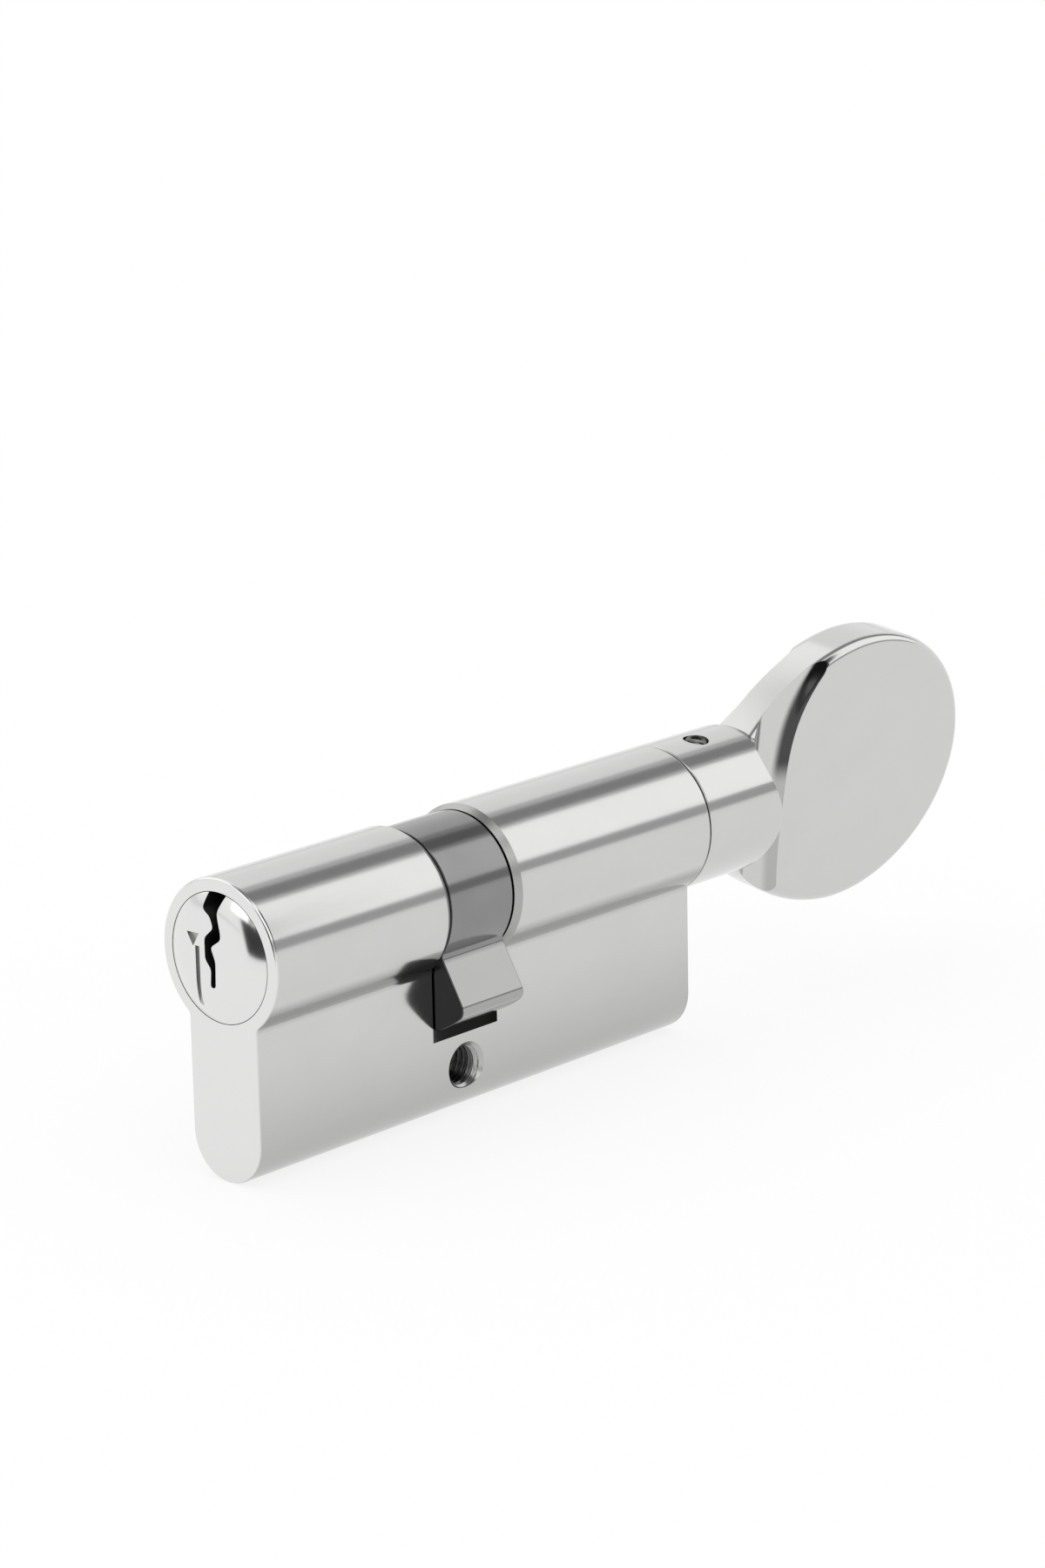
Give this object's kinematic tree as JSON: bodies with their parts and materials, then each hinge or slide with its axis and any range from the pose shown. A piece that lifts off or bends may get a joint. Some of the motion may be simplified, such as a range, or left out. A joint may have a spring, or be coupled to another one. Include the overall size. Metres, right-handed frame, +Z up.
{
  "type": "euro profile thumbturn cylinder",
  "caption": "Euro profile door lock cylinder: keyed plug on one side, cam with a lever in the middle, and a flat egg-shaped thumbturn knob on a collar on the other side.",
  "frame": {"origin": "on the axis that the plug, cam and knob turn about, in the plane of the fixing screw's hole, which is the middle of the cam's slot", "axes": "+X along the turning axis from the key side to the knob, +Y across the flange to the back of the picture, +Z up from the flange towards the barrel"},
  "size_m": [0.1217, 0.0178, 0.0413],
  "materials": {
    "satin_nickel": "satin nickel plate over brass",
    "bright_brass": "turned brass",
    "dark_steel": "dark oiled sintered steel",
    "hardened_steel": "ground hardened steel",
    "spring_steel": "drawn spring wire"
  },
  "bodies": {
    "housing": {"cylinder_body": "satin_nickel", "brake_plug": "bright_brass", "brake_spring": "spring_steel", "chamber_plug_1": "bright_brass", "chamber_plug_2": "bright_brass", "chamber_plug_3": "bright_brass", "chamber_plug_4": "bright_brass", "chamber_plug_5": "bright_brass", "pin_spring_1": "spring_steel", "pin_spring_2": "spring_steel", "pin_spring_3": "spring_steel", "pin_spring_4": "spring_steel", "pin_spring_5": "spring_steel"},
    "key_plug": {"key_plug": "satin_nickel", "plug_circlip": "spring_steel"},
    "turn": {"cam": "dark_steel", "turn_spindle": "bright_brass", "spindle_circlip": "spring_steel", "thumbturn_knob": "satin_nickel", "knob_set_screw": "dark_steel", "clutch_spring": "spring_steel"},
    "coupling": {"clutch_coupling": "hardened_steel"},
    "brake_ball": {"brake_ball": "hardened_steel"},
    "key_pin_1": {"key_pin_1": "bright_brass"},
    "driver_1": {"driver_pin_1": "hardened_steel"},
    "key_pin_2": {"key_pin_2": "bright_brass"},
    "driver_2": {"driver_pin_2": "hardened_steel"},
    "key_pin_3": {"key_pin_3": "bright_brass"},
    "driver_3": {"driver_pin_3": "hardened_steel"},
    "key_pin_4": {"key_pin_4": "bright_brass"},
    "driver_4": {"driver_pin_4": "hardened_steel"},
    "key_pin_5": {"key_pin_5": "bright_brass"},
    "driver_5": {"driver_pin_5": "hardened_steel"}
  },
  "joints": [
    {"name": "plug_turn", "type": "hinge", "parent": "housing", "child": "key_plug", "pos_m": [0, 0, 0], "axis": [1, 0, 0], "continuous": true},
    {"name": "knob_turn", "type": "hinge", "parent": "housing", "child": "turn", "pos_m": [0, 0, 0], "axis": [1, 0, 0], "continuous": true},
    {"name": "coupling_slide", "type": "slide", "parent": "key_plug", "child": "coupling", "axis": [1, 0, 0], "range_m": [0, 0.0015], "stiffness_N_per_m": 250, "springref_m": -0.002, "deforming": ["clutch_spring"]},
    {"name": "brake_ball_press", "type": "slide", "parent": "housing", "child": "brake_ball", "axis": [0, 0, 1], "range_m": [-0.0005, 0], "stiffness_N_per_m": 600, "springref_m": 0.002, "deforming": ["brake_spring"]},
    {"name": "key_pin_1_lift", "type": "slide", "parent": "key_plug", "child": "key_pin_1", "axis": [0, 0, 1], "range_m": [0, 0.0026]},
    {"name": "driver_1_push", "type": "slide", "parent": "housing", "child": "driver_1", "axis": [0, 0, 1], "range_m": [-0.004, 0], "stiffness_N_per_m": 300, "springref_m": 0.003, "deforming": ["pin_spring_1"]},
    {"name": "key_pin_2_lift", "type": "slide", "parent": "key_plug", "child": "key_pin_2", "axis": [0, 0, 1], "range_m": [0, 0.0014]},
    {"name": "driver_2_push", "type": "slide", "parent": "housing", "child": "driver_2", "axis": [0, 0, 1], "range_m": [-0.004, 0], "stiffness_N_per_m": 300, "springref_m": 0.003, "deforming": ["pin_spring_2"]},
    {"name": "key_pin_3_lift", "type": "slide", "parent": "key_plug", "child": "key_pin_3", "axis": [0, 0, 1], "range_m": [0, 0.0022]},
    {"name": "driver_3_push", "type": "slide", "parent": "housing", "child": "driver_3", "axis": [0, 0, 1], "range_m": [-0.004, 0], "stiffness_N_per_m": 300, "springref_m": 0.003, "deforming": ["pin_spring_3"]},
    {"name": "key_pin_4_lift", "type": "slide", "parent": "key_plug", "child": "key_pin_4", "axis": [0, 0, 1], "range_m": [0, 0.001]},
    {"name": "driver_4_push", "type": "slide", "parent": "housing", "child": "driver_4", "axis": [0, 0, 1], "range_m": [-0.004, 0], "stiffness_N_per_m": 300, "springref_m": 0.003, "deforming": ["pin_spring_4"]},
    {"name": "key_pin_5_lift", "type": "slide", "parent": "key_plug", "child": "key_pin_5", "axis": [0, 0, 1], "range_m": [0, 0.0018]},
    {"name": "driver_5_push", "type": "slide", "parent": "housing", "child": "driver_5", "axis": [0, 0, 1], "range_m": [-0.004, 0], "stiffness_N_per_m": 300, "springref_m": 0.003, "deforming": ["pin_spring_5"]}
  ]
}
